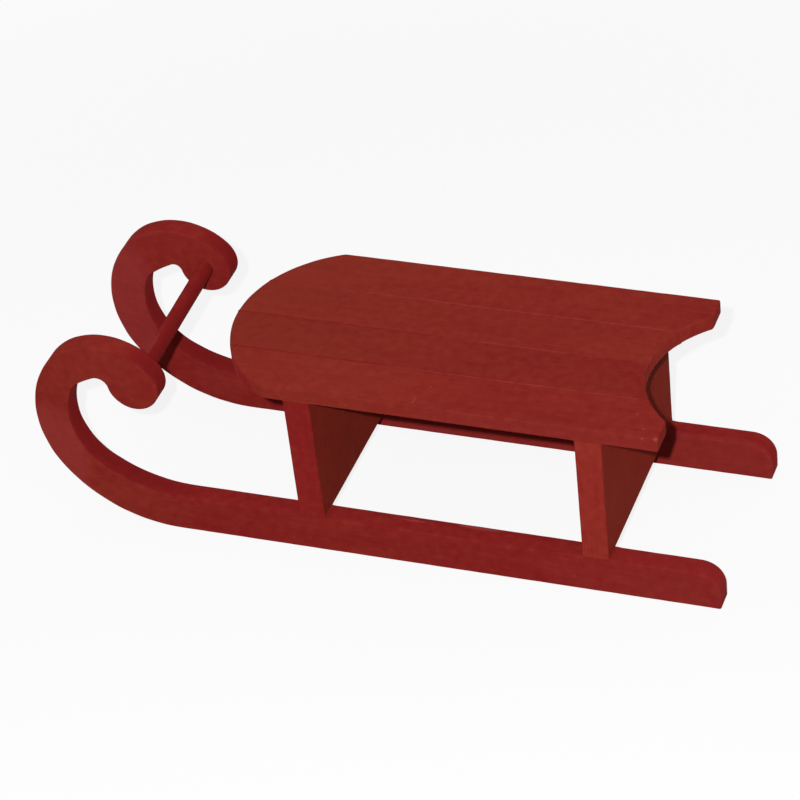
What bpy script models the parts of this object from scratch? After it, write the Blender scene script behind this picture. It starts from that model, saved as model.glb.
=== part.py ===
"""A small wooden sled with curled runners, glued, screwed and nailed together and painted dark red.

Two runners are sawn from thick board. Each one sweeps up at the front, curls back over itself and ends in a
round bulb. Two upright leg boards stand across the runners and carry a seat of four planks, which has a bowed
front and a hollowed rear edge. A dowel joins the two bulbs and serves to pull the sled.

Metres, +Z up, +X towards the curled front, +Y to the left. The origin is on the ground, midway along and
midway between the runners.
"""

import math

import bmesh
import bpy

# Board sizes
RUNNER_THICKNESS = 0.018
RUNNER_HEIGHT = 0.032
LEG_THICKNESS = 0.021
SEAT_THICKNESS = 0.012
DOWEL_RADIUS = 0.006

# Overall widths and heights
FRAME_WIDTH = 0.180
SEAT_WIDTH = 0.182
SEAT_TOP = 0.156

# Distances along the sled, from the rear end of the runners
SEAT_REAR = 0.0415
REAR_LEG = 0.0855
FRONT_LEG = 0.3165
SEAT_FRONT = 0.4083
CURL_START = 0.445

# The curl is drawn with a pair of compasses: each arc is (radius, turn in degrees) and runs on from the last,
# and a positive turn is to the left. The outside and the bulb come first, then the inside back to the flat.
OUTSIDE_ARCS = ((0.119, 49), (0.085, 75), (0.059, 100))
BULB_ARC = (0.022, 214)
INSIDE_ARCS = ((0.005, -93), (0.098, -13), (0.014, -38), (0.059, -82))
REAR_CORNER_RADIUS = 0.019

# Seat outline
SEAT_PLANKS = 4
SEAT_FRONT_RADIUS = 0.100
SEAT_NOTCH_RADIUS = 0.087
SEAT_NOTCH_DEPTH = 0.0315

# Fits and finish
GAP = 0.0003
BOARD_EASE = 0.0011
PLANK_EASE = 0.0005
DOWEL_EASE = 0.0008
DOWEL_SEAT_DEPTH = 0.010
ARC_STEP = 5.0

# Screws that come up through the runners into the legs
SCREW_LENGTH = 0.050
SCREW_HEAD_RADIUS = 0.0043
SCREW_HEAD_HEIGHT = 0.0026
SCREW_SHANK_RADIUS = 0.0022
SCREW_POINT_LENGTH = 0.006
SCREW_SINK = 0.0015
CROSS_SLOT_LENGTH = 0.0046
CROSS_SLOT_WIDTH = 0.0009
CROSS_SLOT_DEPTH = 0.0014

# Nails that hold each plank to each leg
NAIL_LENGTH = 0.034
NAIL_HEAD_RADIUS = 0.0015
NAIL_HEAD_HEIGHT = 0.0012
NAIL_SHANK_RADIUS = 0.0009
NAIL_POINT_LENGTH = 0.003
NAIL_SINK = 0.0010
NAIL_SPREAD = 0.0265

FRAME_HALF = FRAME_WIDTH / 2
SEAT_HALF = SEAT_WIDTH / 2
RUNNER_MIDDLE = FRAME_HALF - RUNNER_THICKNESS / 2
SEAT_UNDERSIDE = SEAT_TOP - SEAT_THICKNESS
LEG_BOTTOM = RUNNER_HEIGHT + GAP
LEG_TOP = SEAT_UNDERSIDE - GAP
LEG_PLACES = {"front": FRONT_LEG, "rear": REAR_LEG}
SIDES = {"left": 1, "right": -1}


def paint(name, colour, roughness):
    material = bpy.data.materials.new(name)
    material.use_nodes = True
    shader = material.node_tree.nodes["Principled BSDF"]
    shader.inputs["Base Color"].default_value = (*colour, 1.0)
    shader.inputs["Roughness"].default_value = roughness
    return material


def bare_steel(name, colour, roughness):
    material = paint(name, colour, roughness)
    material.node_tree.nodes["Principled BSDF"].inputs["Metallic"].default_value = 1.0
    return material


def arc_points(start, heading, radius, turn):
    """Points after start along an arc, with the heading at its end; angles are in radians."""
    side = math.copysign(1.0, turn)
    centre = (start[0] - side * radius * math.sin(heading), start[1] + side * radius * math.cos(heading))
    first = math.atan2(start[1] - centre[1], start[0] - centre[0])
    steps = max(2, math.ceil(math.degrees(abs(turn)) / ARC_STEP))
    angles = [first + turn * step / steps for step in range(1, steps + 1)]
    points = [(centre[0] + radius * math.cos(angle), centre[1] + radius * math.sin(angle)) for angle in angles]
    return points, heading + turn, centre


def runner_outline():
    """The runner seen from its side, x forward and z up, with the rear end at x = 0; also the bulb's centre."""
    points = [(0.0, 0.0), (CURL_START, 0.0)]
    heading = 0.0
    for radius, turn in (*OUTSIDE_ARCS, BULB_ARC, *INSIDE_ARCS):
        stretch, heading, centre = arc_points(points[-1], heading, radius, math.radians(turn))
        points += stretch
        if (radius, turn) == BULB_ARC:
            bulb_centre = centre
    # The last arc comes down level with the top of the runner.
    last_turn = math.pi - heading
    last_radius = (points[-1][1] - RUNNER_HEIGHT) / (1 - math.cos(last_turn))
    points += arc_points(points[-1], heading, last_radius, last_turn)[0]
    corner_start = (REAR_CORNER_RADIUS, RUNNER_HEIGHT)
    points.append(corner_start)
    points += arc_points(corner_start, math.pi, REAR_CORNER_RADIUS, math.pi / 2)[0]
    return points, bulb_centre


def seat_front_at(y):
    return SEAT_FRONT - SEAT_FRONT_RADIUS + math.sqrt(SEAT_FRONT_RADIUS**2 - y**2)


def seat_notch_at(y):
    return SEAT_REAR + SEAT_NOTCH_DEPTH - SEAT_NOTCH_RADIUS + math.sqrt(SEAT_NOTCH_RADIUS**2 - y**2)


def notch_half_width():
    return math.sqrt(SEAT_NOTCH_RADIUS**2 - (SEAT_NOTCH_RADIUS - SEAT_NOTCH_DEPTH) ** 2)


def spaced(first, last, radius):
    """Values from first to last, close enough together to follow an arc of this radius."""
    steps = max(1, math.ceil(abs(last - first) / (radius * math.radians(ARC_STEP))))
    return [first + (last - first) * step / steps for step in range(steps + 1)]


def plank_outline(low, high):
    """A seat plank seen from above, between y = low and y = high, anticlockwise from its rear right corner."""
    corner = notch_half_width()
    front = [(seat_front_at(y), y) for y in spaced(low, high, SEAT_FRONT_RADIUS)]
    notch = [(seat_notch_at(y), y) for y in spaced(min(high, corner), max(low, -corner), SEAT_NOTCH_RADIUS)]
    left_prong = [(SEAT_REAR, high)] if high > corner else []
    right_prong = [(SEAT_REAR, low)] if low < -corner else []
    return front + left_prong + notch + right_prong


def link(name, mesh, material):
    made = bpy.data.objects.new(name, mesh)
    made.data.materials.append(material)
    bpy.context.scene.collection.objects.link(made)
    return made


def ease_edges(board, width):
    """Rounds the sawn edges a little, and leaves the facets of the curves alone."""
    bevel = board.modifiers.new("Eased edges", "BEVEL")
    bevel.width = width
    bevel.segments = 2
    bevel.limit_method = "ANGLE"
    bevel.angle_limit = math.radians(30)
    bevel.use_clamp_overlap = False


def sawn_board(name, outline, thickness, material, ease):
    """A board lying flat: its outline in local X and Y, its thickness along local Z."""
    mesh = bpy.data.meshes.new(name)
    shape = bmesh.new()
    face = shape.faces.new([shape.verts.new((x, y, 0.0)) for x, y in outline])
    top = bmesh.ops.extrude_face_region(shape, geom=[face])
    moved = [item for item in top["geom"] if isinstance(item, bmesh.types.BMVert)]
    bmesh.ops.translate(shape, vec=(0.0, 0.0, thickness), verts=moved)
    bmesh.ops.recalc_face_normals(shape, faces=shape.faces)
    shape.to_mesh(mesh)
    shape.free()
    board = link(name, mesh, material)
    ease_edges(board, ease)
    return board


def turned(name, profile, segments, material):
    """A turned piece about local Z from (radius, height) pairs, which start and end on the axis."""
    mesh = bpy.data.meshes.new(name)
    shape = bmesh.new()
    points = [shape.verts.new((radius, 0.0, height)) for radius, height in profile]
    edges = [shape.edges.new(pair) for pair in zip(points, points[1:])]
    bmesh.ops.spin(shape, geom=points + edges, cent=(0, 0, 0), axis=(0, 0, 1), angle=math.tau, steps=segments)
    bmesh.ops.remove_doubles(shape, verts=shape.verts, dist=1e-6)
    bmesh.ops.recalc_face_normals(shape, faces=shape.faces)
    shape.to_mesh(mesh)
    shape.free()
    mesh.shade_smooth()
    mesh.set_sharp_from_angle(angle=math.radians(35))
    return link(name, mesh, material)


def add_rod(shape, place, radius, length, segments):
    """Adds a closed cylinder whose lower end is at place, along local Z."""
    made = bmesh.ops.create_cone(
        shape, cap_ends=True, segments=segments, radius1=radius, radius2=radius, depth=length
    )
    centre = (place[0], place[1], place[2] + length / 2)
    bmesh.ops.translate(shape, vec=centre, verts=made["verts"])


def bore(board, holes, segments):
    """Cuts round holes along the board's local Z; each is (x, y, z of the lower end, radius, length)."""
    mesh = bpy.data.meshes.new(board.name + "_bores")
    shape = bmesh.new()
    for x, y, z, radius, length in holes:
        add_rod(shape, (x, y, z), radius, length, segments)
    shape.to_mesh(mesh)
    shape.free()
    cut_away(board, mesh)


def cut_away(board, mesh):
    """Takes the mesh, which is in the board's own coordinates, out of the board."""
    cutter = bpy.data.objects.new(mesh.name, mesh)
    cutter.hide_render = True
    cutter.display_type = "WIRE"
    cutter.parent = board
    bpy.context.scene.collection.objects.link(cutter)
    cut = board.modifiers.new(mesh.name, "BOOLEAN")
    cut.operation = "DIFFERENCE"
    cut.solver = "EXACT"
    cut.object = cutter


def make_runner(side, rear_end, material):
    """A runner with its blind hole for the dowel and a countersunk screw hole under each leg."""
    outline, bulb_centre = runner_outline()
    runner = sawn_board(side + "_runner", outline, RUNNER_THICKNESS, material, BOARD_EASE)
    # Local Z points to the right of the sled once the board stands on edge.
    runner.rotation_euler = (math.pi / 2, 0.0, 0.0)
    outer_left = FRAME_HALF if side == "left" else RUNNER_THICKNESS - FRAME_HALF
    runner.location = (rear_end, outer_left, 0.0)

    depth = DOWEL_SEAT_DEPTH + GAP
    overrun = 0.004
    start = RUNNER_THICKNESS - depth if side == "left" else -overrun
    bore(runner, [(*bulb_centre, start, DOWEL_RADIUS + GAP, depth + overrun)], 32)

    for leg_rear in LEG_PLACES.values():
        cut_screw_hole(runner, leg_rear + LEG_THICKNESS / 2)
    return runner


def cut_screw_hole(runner, along):
    """A clearance hole up through a standing runner, with a countersink in its sole."""
    overrun = 0.002
    head = SCREW_HEAD_RADIUS + GAP
    shank = SCREW_SHANK_RADIUS + GAP
    rim = SCREW_SINK
    profile = (
        (0.0, -overrun),
        (head, -overrun),
        (head, rim),
        (shank, rim + SCREW_HEAD_HEIGHT),
        (shank, RUNNER_HEIGHT + overrun),
        (0.0, RUNNER_HEIGHT + overrun),
    )
    cutter = turned(f"{runner.name}_screw_hole", profile, 20, runner.data.materials[0])
    mesh = cutter.data
    bpy.data.objects.remove(cutter)
    # The hole is turned about Z, and the runner's height is its local Y.
    for point in mesh.vertices:
        x, y, z = point.co
        point.co = (along + x, z, RUNNER_THICKNESS / 2 - y)
    cut_away(runner, mesh)


def make_leg(name, leg_rear, rear_end, material, nail_rows):
    """An upright board across both runners, with holes for the nails above and the screws below."""
    height = LEG_TOP - LEG_BOTTOM
    corners = ((-FRAME_HALF, 0.0), (FRAME_HALF, 0.0), (FRAME_HALF, height), (-FRAME_HALF, height))
    leg = sawn_board(name, corners, LEG_THICKNESS, material, BOARD_EASE)
    # Local X runs across the sled, local Y up and local Z forward.
    leg.rotation_euler = (math.pi / 2, 0.0, math.pi / 2)
    leg.location = (rear_end + leg_rear, 0.0, LEG_BOTTOM)

    mesh = bpy.data.meshes.new(name + "_holes")
    shape = bmesh.new()
    overrun = 0.002
    nail_depth = NAIL_SINK + NAIL_LENGTH - SEAT_THICKNESS
    for across in nail_rows:
        add_rod(shape, (0, 0, height - nail_depth), NAIL_SHANK_RADIUS + GAP, nail_depth + overrun, 12)
        shift_new(shape, across)
    screw_depth = SCREW_SINK + SCREW_LENGTH - RUNNER_HEIGHT
    for across in (-RUNNER_MIDDLE, RUNNER_MIDDLE):
        add_rod(shape, (0, 0, -overrun), SCREW_SHANK_RADIUS + GAP, screw_depth + overrun, 20)
        shift_new(shape, across)
    shape.to_mesh(mesh)
    shape.free()
    # The rods stand along Z; the board's height is its local Y.
    for point in mesh.vertices:
        x, y, z = point.co
        point.co = (x, z, LEG_THICKNESS / 2 - y)
    cut_away(leg, mesh)
    return leg


def shift_new(shape, across):
    """Moves the rod that was added last, which is still on the axis, to its place along X."""
    for point in shape.verts:
        if not point.tag:
            point.co.x += across
            point.tag = True


def make_plank(name, low, high, rear_end, material, nail_rows):
    plank = sawn_board(name, plank_outline(low, high), SEAT_THICKNESS, material, PLANK_EASE)
    plank.location = (rear_end, 0.0, SEAT_UNDERSIDE)
    overrun = 0.002
    holes = [
        (leg_rear + LEG_THICKNESS / 2, across, -overrun, NAIL_HEAD_RADIUS + GAP, SEAT_THICKNESS + 2 * overrun)
        for leg_rear in LEG_PLACES.values()
        for across in nail_rows
        if low < across < high
    ]
    bore(plank, holes, 12)
    return plank


def make_dowel(bulb_centre, rear_end, material):
    length = FRAME_WIDTH - 2 * RUNNER_THICKNESS + 2 * DOWEL_SEAT_DEPTH
    mesh = bpy.data.meshes.new("pull_dowel")
    shape = bmesh.new()
    add_rod(shape, (0.0, 0.0, -length / 2), DOWEL_RADIUS, length, 32)
    shape.to_mesh(mesh)
    shape.free()
    mesh.shade_smooth()
    mesh.set_sharp_from_angle(angle=math.radians(35))
    dowel = link("pull_dowel", mesh, material)
    ease_edges(dowel, DOWEL_EASE)
    dowel.rotation_euler = (math.pi / 2, 0.0, 0.0)
    dowel.location = (rear_end + bulb_centre[0], 0.0, bulb_centre[1])
    return dowel


def make_screw(name, material):
    """A countersunk wood screw with its head down at z = 0 and a cross slot in it."""
    profile = (
        (0.0, 0.0),
        (SCREW_HEAD_RADIUS, 0.0),
        (SCREW_SHANK_RADIUS, SCREW_HEAD_HEIGHT),
        (SCREW_SHANK_RADIUS, SCREW_LENGTH - SCREW_POINT_LENGTH - GAP),
        (0.0, SCREW_LENGTH - GAP),
    )
    screw = turned(name, profile, 20, material)
    mesh = bpy.data.meshes.new(name + "_slot")
    shape = bmesh.new()
    corners = cross_outline(CROSS_SLOT_LENGTH / 2, CROSS_SLOT_WIDTH / 2)
    face = shape.faces.new([shape.verts.new((x, y, -CROSS_SLOT_DEPTH)) for x, y in corners])
    moved = bmesh.ops.extrude_face_region(shape, geom=[face])["geom"]
    tops = [item for item in moved if isinstance(item, bmesh.types.BMVert)]
    bmesh.ops.translate(shape, vec=(0.0, 0.0, 2 * CROSS_SLOT_DEPTH), verts=tops)
    bmesh.ops.recalc_face_normals(shape, faces=shape.faces)
    shape.to_mesh(mesh)
    shape.free()
    cut_away(screw, mesh)
    return screw


def cross_outline(reach, half):
    """The twelve corners of a plus sign, anticlockwise."""
    quarter = ((half, -reach), (half, -half), (reach, -half))
    corners = []
    for turn in range(4):
        cos, sin = round(math.cos(turn * math.pi / 2)), round(math.sin(turn * math.pi / 2))
        corners += [(x * cos - y * sin, x * sin + y * cos) for x, y in quarter]
    return corners


def make_nail(name, material):
    """A lost-head nail with its point at z = 0."""
    head = NAIL_LENGTH - NAIL_HEAD_HEIGHT
    profile = (
        (0.0, 0.0),
        (NAIL_SHANK_RADIUS, NAIL_POINT_LENGTH),
        (NAIL_SHANK_RADIUS, head),
        (NAIL_HEAD_RADIUS, head + NAIL_HEAD_HEIGHT / 2),
        (NAIL_HEAD_RADIUS, NAIL_LENGTH),
        (0.0, NAIL_LENGTH),
    )
    return turned(name, profile, 12, material)


def main():
    for old in list(bpy.data.objects):
        bpy.data.objects.remove(old)

    red_side = (0.205, 0.013, 0.013)
    red_seat = (0.225, 0.021, 0.016)
    red_leg = (0.185, 0.012, 0.012)
    outline, bulb_centre = runner_outline()
    rear_end = -max(x for x, z in outline) / 2

    plank_width = (SEAT_WIDTH - (SEAT_PLANKS - 1) * GAP) / SEAT_PLANKS
    plank_lows = [SEAT_HALF - plank_width - index * (plank_width + GAP) for index in range(SEAT_PLANKS)]
    plank_middles = [low + plank_width / 2 for low in plank_lows]
    nail_rows = [middle + shift for middle in plank_middles for shift in (NAIL_SPREAD / 2, -NAIL_SPREAD / 2)]

    for side, sign in SIDES.items():
        make_runner(side, rear_end, paint(f"{side}_runner_paint", red_side, 0.5))
        for place, leg_rear in LEG_PLACES.items():
            steel = bare_steel(f"{place}_{side}_screw_steel", (0.56, 0.55, 0.53), 0.35)
            screw = make_screw(f"leg_screw_{place}_{side}", steel)
            screw.location = (rear_end + leg_rear + LEG_THICKNESS / 2, sign * RUNNER_MIDDLE, SCREW_SINK + GAP)

    for place, leg_rear in LEG_PLACES.items():
        leg_paint = paint(f"{place}_leg_paint", red_leg, 0.5)
        make_leg(f"{place}_leg_board", leg_rear, rear_end, leg_paint, nail_rows)
        for number, across in enumerate(nail_rows, 1):
            steel = bare_steel(f"{place}_nail_{number}_steel", (0.45, 0.44, 0.43), 0.4)
            nail = make_nail(f"seat_nail_{place}_{number}", steel)
            nail.location = (rear_end + leg_rear + LEG_THICKNESS / 2, across, SEAT_TOP - NAIL_SINK - NAIL_LENGTH)

    plank_names = ("outer_left", "inner_left", "inner_right", "outer_right")
    for plank_name, low in zip(plank_names, plank_lows):
        high = low + plank_width
        plank_paint = paint(f"{plank_name}_plank_paint", red_seat, 0.45)
        make_plank(f"seat_plank_{plank_name}", low, high, rear_end, plank_paint, nail_rows)

    make_dowel(bulb_centre, rear_end, paint("dowel_paint", red_side, 0.45))


main()
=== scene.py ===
"""Dresses a small wooden sled with curled runners in brushed dark red paint and sets it in a pale studio.

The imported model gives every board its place. The boards and the dowel are made again here as smooth surfaces
with eased, slightly uneven edges, beads of glue are added, and the steel nails and screws keep their shapes.
Metres, +Z up, +X towards the curled front, +Y to the sled's left.
"""

import math
from typing import NamedTuple

import bpy
import numpy as np
from bpy.props import FloatProperty, FloatVectorProperty, PointerProperty
from bpy.types import Operator, Panel, PropertyGroup
from mathutils import Matrix, Vector


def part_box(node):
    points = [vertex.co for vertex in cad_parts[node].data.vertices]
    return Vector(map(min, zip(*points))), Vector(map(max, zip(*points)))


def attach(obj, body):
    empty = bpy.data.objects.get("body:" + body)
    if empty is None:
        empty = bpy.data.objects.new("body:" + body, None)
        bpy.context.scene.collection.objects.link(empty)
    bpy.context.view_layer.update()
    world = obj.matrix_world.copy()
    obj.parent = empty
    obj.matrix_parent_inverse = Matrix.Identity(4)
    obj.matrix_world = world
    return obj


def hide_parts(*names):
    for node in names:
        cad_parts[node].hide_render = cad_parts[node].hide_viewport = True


bl_info = {
    "name": "Curled-runner sled",
    "version": (1, 0, 0),
    "blender": (4, 5, 0),
    "location": "View3D > Sidebar > Sled",
    "description": "Paints a wooden sled with curled runners and sets it in a pale studio",
    "category": "Object",
}

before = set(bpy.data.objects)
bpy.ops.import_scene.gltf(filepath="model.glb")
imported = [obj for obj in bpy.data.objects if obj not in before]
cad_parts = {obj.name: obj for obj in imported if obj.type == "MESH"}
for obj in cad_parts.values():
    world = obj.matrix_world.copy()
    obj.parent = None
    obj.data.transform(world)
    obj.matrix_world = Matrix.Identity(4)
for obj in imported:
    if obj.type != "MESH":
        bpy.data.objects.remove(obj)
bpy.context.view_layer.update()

# Board sizes and places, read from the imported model, and the gap that its joints keep for glue
RUNNER_LOW, RUNNER_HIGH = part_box("left_runner")
SEAT_LOW, SEAT_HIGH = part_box("seat_plank_outer_left")
DOWEL_LOW, DOWEL_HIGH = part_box("pull_dowel")
LEG_BOXES = {place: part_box(f"{place}_leg_board") for place in ("front", "rear")}
LEG_MIDDLES = {place: (low.x + high.x) / 2 for place, (low, high) in LEG_BOXES.items()}
RUNNER_THICKNESS = RUNNER_HIGH.y - RUNNER_LOW.y
SEAT_THICKNESS = SEAT_HIGH.z - SEAT_LOW.z
REAR_END = RUNNER_LOW.x
FRAME_HALF = RUNNER_HIGH.y
RUNNER_MIDDLE = FRAME_HALF - RUNNER_THICKNESS / 2
DOWEL_CENTRE = (DOWEL_LOW + DOWEL_HIGH) / 2
DOWEL_RADIUS = (DOWEL_HIGH.z - DOWEL_LOW.z) / 2
JOINT_GAP = 0.0003
RUNNER_HEIGHT = LEG_BOXES["rear"][0].z - JOINT_GAP
SIDES = {"left": 1, "right": -1}

# Distances along the sled, from the rear end of the runners
SEAT_REAR = 0.0415
SEAT_FRONT = 0.4083
CURL_START = 0.445

# The runner: how many degrees of the bulb's arc close its front end, and its rear corner
BULB_TIP_TURN = 60
REAR_CORNER_RADIUS = 0.019

# Seat outline, and the sides of its planks from left to right
SEAT_PLANKS = ("outer_left", "inner_left", "inner_right", "outer_right")
SEAT_HALF = 0.0905
PLANK_SIDES = (SEAT_HALF, 0.0454, 0.0009, -0.0435, -SEAT_HALF)
SEAT_FRONT_RADIUS = 0.100
SEAT_NOTCH_RADIUS = 0.087
SEAT_NOTCH_DEPTH = 0.0315
SEAT_NOTCH_CORNER = 0.0012

# What the maker's hand left a little off: how far the front left corner of the seat stands ahead, and from
# where, how far the head of each leg leans ahead, and how far runners and dowel are off lengthwise
FULL_CORNER = 0.0040
FULL_CORNER_START = 0.030
LEG_LEAN = {"front": 0.0014, "rear": 0.0}
RUNNER_STRAY = {"left": -0.0015, "right": 0.0}
DOWEL_STRAY = {"left": -0.0031, "right": 0.0016}

# Wavelengths of the hand's unevenness, on eased edges with its share of their radius before them and the
# seed of the first board of the kind behind them
SAW_WAVES = (0.023, 0.037, 0.061, 0.109)
EDGE_WAVES = {
    "runner": (0.15, (0.019, 0.031, 0.053), 21),
    "leg": (0.15, (0.017, 0.029, 0.047), 22),
    "plank": (0.18, (0.021, 0.033, 0.059), 31),
}
DOWEL_WAVES = (0.031, 0.057, 0.093)
BEAD_WAVES = (0.0047, 0.0083, 0.021, 0.047)

# Seeds of the other waves, and of the paint on the first piece of each kind
SAW_SEEDS = (11, 12)
DOWEL_SEED = 41
BEAD_SEEDS = {"front": 85, "rear": 78}
BEAD_SEED_STEP = 10
PAINT_SEEDS = {"runner": 0, "leg": 2, "plank": 4, "dowel": 8, "glue": 9}

# How far a corner in a board's outline is cut back, in radii of the edges there
CORNER_CUT = 1.75
JOINT_CORNER_CUT = 2

# Distances between which one kind of edge passes into the next, and the reach of an end's bow into a face
SAW_RUN_IN = 0.03
SAW_RUN_OUT = (0.004, 0.03)
LEG_SIDE_FADE = (0.0, 0.002)
RUNNER_TOP_FADE = (0.0005, 0.002)
LEG_END_FADE = (0.0005, 0.004)
SEAM_EDGE_FADE = (0.0001, 0.002)
SEAM_LINE_FADE = (0.0001, 0.0004)
BOW_REACH = 0.045

# Screw holes in the soles, as radius and height pairs, and the angle in degrees that stays a crisp edge
SCREW_HOLE = ((0.0046, -0.002), (0.0046, 0.0015), (0.0025, 0.0041), (0.0025, 0.034))
CRISP_ANGLE = 40

# The dowel: sanded to a share of its radius, with two slight flats, and swollen by its coats of paint
DOWEL_SANDED = 0.985
DOWEL_FLATS = 0.010
DOWEL_FLATS_TURN = 0.7
DOWEL_SWELL = 0.0007

# The collar of paint where it enters a bulb, as high as a share of the joint rounding, and its rows
COLLAR_WIDTH = 0.0022
COLLAR_LIFT = 0.5
COLLAR_ROWS_REACH = 0.0025
COLLAR_ROWS = 8

# Beads of glue: they sink into the boards, waver, run out thin and stop short of the boards' edges
BEAD_SINK = 0.0004
BEAD_WAVER = 0.5
BEAD_TIP = 0.02
FOOT_BEAD_MARGIN = 0.0005
HEAD_BEAD_MARGIN = 0.003

# How closely the surfaces follow their curves
ARC_SPACING = 0.001
ARC_STEPS_LEAST = 6
ROUND_STEPS = 4
BAND_STEPS = 2
CORNER_POINTS = 12
BENT_POINTS = 60
ROW_POINTS = 33
ROW_SAMPLES = 200
RUNNER_STEPS = (110, 230, 24)
LEG_STEPS = 60
PLANK_STEPS = 120
PLANK_ROW_SAMPLES = 160
DOWEL_ROWS = 91
DOWEL_DECIMALS = 6
BEAD_SPACING = 0.0015
BEAD_ROWS_LEAST = 12
BEAD_ROUND_POINTS = 7
TURNED_SEGMENTS = 40
FLOOR_SEGMENTS = 72

# How many points of a face are compared with the outline at once
POINTS_AT_ONCE = 2000

# The paint's dull sheen
PAINT_ROUGHNESS = 0.68
PAINT_GLOSS = 0.01
PAINT_MATTE = 0.4

# The paint's features: their sizes along the three axes, which are the board's own for strokes and bristles,
# and their shares in the tone, the fading, the roughness and the height in metres
PATCH_SIZES = (0.11, 0.06, 0.06)
MOTTLE_SIZES = (0.007, 0.007, 0.007)
STROKE_SIZES = (0.15, 0.0075, 0.0075)
BRISTLE_SIZES = (0.06, 0.0012, 0.0012)
FIBRE_LENGTH = 0.05
FIBRE_WIDTH = 0.0009
TONE_SHARES = {"patches": 0.15, "mottle": 0.24, "strokes": 0.12, "bristles": 0.14, "fibres": 0.17}
FADED_SHARES = {"patches": 0.5, "mottle": 1.2, "fibres": 0.6}
ROUGH_SHARES = {"strokes": 0.20, "mottle": 0.15}
HEIGHT_SHARES = {"strokes": 0.00008, "bristles": 0.00004, "fibres": 0.00005, "mottle": 0.00010}

# How far rubbing, dirt and chalky paint reach from an edge
WEAR_REACHES = (0.004, 0.0018, 0.0014)

# Rubbed paint: the edge radii between which it sets in, the mottle's share in its outline, and how it shows
RUBBED_RADII = (0.0005, 0.0010)
RUBBED_MOTTLE = 0.55
RUBBED_EDGE = (0.40, 0.66)
RUBBED_PALE = 0.13
RUBBED_ROUGH = 0.10

# How dirt, chalky paint, the places of painted shading and the marks show, and where their outlines fade
DIRT_DARK = 0.06
DIRT_FRESH = 0.9
CHALK_MOTTLE = 3
PAINTED_SHADING_FRESH = 0.8
PLACE_FADE = (0.4, 1.0)
MARK_BRISTLES = 0.9
MARK_FADE = (0.3, 0.9)

# Steps by which a seed moves a noise along the three axes
NOISE_STEPS = (17.3, 9.1, 4.7)

# Dirt and chalky paint along each seam of the seat, from left to right, as pairs of a distance from the
# runners' rear end and a strength, and the dirt on a seam's right side as a share of the chalky paint
SEAM_DIRT = (
    ((0.245, 0.0), (0.275, 1.0)),
    ((0.225, 0.0), (0.255, 1.0)),
    ((0.300, 0.0), (0.400, 0.15)),
)
SEAM_CHALK = (
    ((0.060, 0.8), (0.120, 0.8), (0.150, 1.2), (0.245, 1.0), (0.270, 0.0)),
    ((0.060, 0.3), (0.130, 0.4), (0.145, 1.0), (0.200, 1.0), (0.215, 0.4), (0.245, 0.0)),
    ((0.060, 1.3), (0.100, 1.2), (0.300, 0.9), (0.360, 0.0)),
)
FAR_SIDE_DIRT = 0.15

# Chips and scuffs, and broad pale washes that are painted light and sheen: a centre measured from the
# runners' rear end, half sizes, and how far the paint is gone at a chip and how pale a wash turns it
SEAT_MARKS = (
    ((0.2266, 0.0642, 0.156), (0.0011, 0.0014, 0.001), 0.9),
    ((0.0645, 0.0635, 0.156), (0.0012, 0.0010, 0.001), 0.9),
    ((0.0547, 0.0802, 0.156), (0.0010, 0.0012, 0.001), 0.8),
    ((0.0531, 0.0905, 0.155), (0.0014, 0.0010, 0.0012), 0.8),
    ((0.3919, 0.0502, 0.156), (0.0012, 0.0010, 0.001), 0.8),
    ((0.2868, 0.0905, 0.1488), (0.0010, 0.0010, 0.0009), 0.8),
    ((0.0425, 0.0900, 0.1555), (0.0040, 0.0030, 0.002), 0.7),
    ((0.2337, 0.0830, 0.156), (0.0010, 0.0085, 0.001), 0.5),
    # A broad pale wash over the seat's left side: painted light
    ((0.1200, 0.0905, 0.149), (0.1600, 0.0030, 0.020), 0.08),
)
RUNNER_MARKS = (
    # The first five are broad pale washes over the left runner's rear, both curls and the lower inner face of
    # the right runner: partly paler paint and partly painted light and sheen. The rest are chips and scuffs.
    ((0.040, 0.082, 0.016), (0.160, 0.030, 0.040), 0.07),
    ((0.540, -0.081, 0.090), (0.050, 0.030, 0.100), 0.30),
    ((0.545, 0.081, 0.060), (0.050, 0.030, 0.080), 0.24),
    ((0.150, -0.072, 0.016), (0.320, 0.010, 0.060), 0.13),
    ((0.465, -0.072, 0.030), (0.040, 0.010, 0.035), 0.11),
    ((0.166, 0.090, 0.0300), (0.0011, 0.001, 0.0009), 0.8),
    ((0.1146, 0.090, 0.0117), (0.0010, 0.001, 0.0009), 0.8),
    ((0.2470, 0.0770, 0.032), (0.0140, 0.0020, 0.001), 0.5),
    ((0.1940, 0.0745, 0.032), (0.0250, 0.0030, 0.001), 0.5),
)
# A pale strip along the dowel's upper front side: painted highlight, partly worn paint
DOWEL_MARKS = (((0.4669, 0.047, 0.1438), (0.0045, 0.028, 0.0045), 0.4),)
LEG_MARKS = (
    ((0.3165, 0.0660, 0.0700), (0.001, 0.0012, 0.016), 0.22),
    ((0.3165, 0.0610, 0.0560), (0.001, 0.0008, 0.010), 0.22),
    ((0.3165, 0.0480, 0.0440), (0.001, 0.0012, 0.014), 0.22),
    ((0.3165, 0.0400, 0.0360), (0.001, 0.0010, 0.010), 0.22),
    ((0.3165, 0.0280, 0.0300), (0.001, 0.0014, 0.016), 0.25),
    ((0.3165, 0.0220, 0.0420), (0.001, 0.0009, 0.018), 0.22),
)

# Dull steel: its tone and roughness, and how its clouds and scratches change them
STEEL_TONE = 0.86
STEEL_TONE_CLOUDS = 0.28
STEEL_ROUGHNESS = 0.28
STEEL_ROUGH_CLOUDS = 0.22
STEEL_ROUGH_SCRATCHES = 0.12
STEEL_GLOSS = 0.5
SCRATCH_SIZES = (0.0002, 0.002, 0.0002)
SCRATCH_HEIGHT = 0.00001
SCREW_CLOUDS = 0.003
NAIL_CLOUDS = 0.002

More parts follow.
